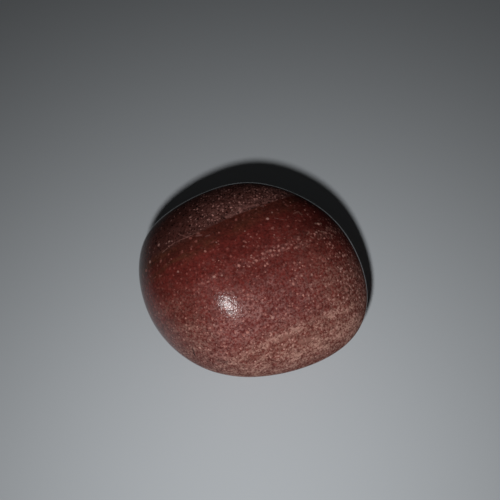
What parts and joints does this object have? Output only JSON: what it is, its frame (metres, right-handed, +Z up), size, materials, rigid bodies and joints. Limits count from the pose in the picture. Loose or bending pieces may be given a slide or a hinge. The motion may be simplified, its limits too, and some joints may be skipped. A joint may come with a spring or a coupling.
{
  "type": "red jasper tumbled stone",
  "caption": "Smooth polished pebble with faint worn faces, banded deep red and speckled pink, resting on a small flat spot.",
  "frame": {"origin": "under the middle of the stone's bounding box, in the flat spot that it rests on", "axes": "+Z up from the flat spot, +X along the longest side, +Y away from the side that the picture shows"},
  "size_m": [0.025, 0.023, 0.0161],
  "materials": {
    "red_jasper": "tumble-polished, satin gloss, with fine pale grains and bands"
  },
  "bodies": {
    "root": {"stone": "red_jasper"}
  },
  "joints": []
}
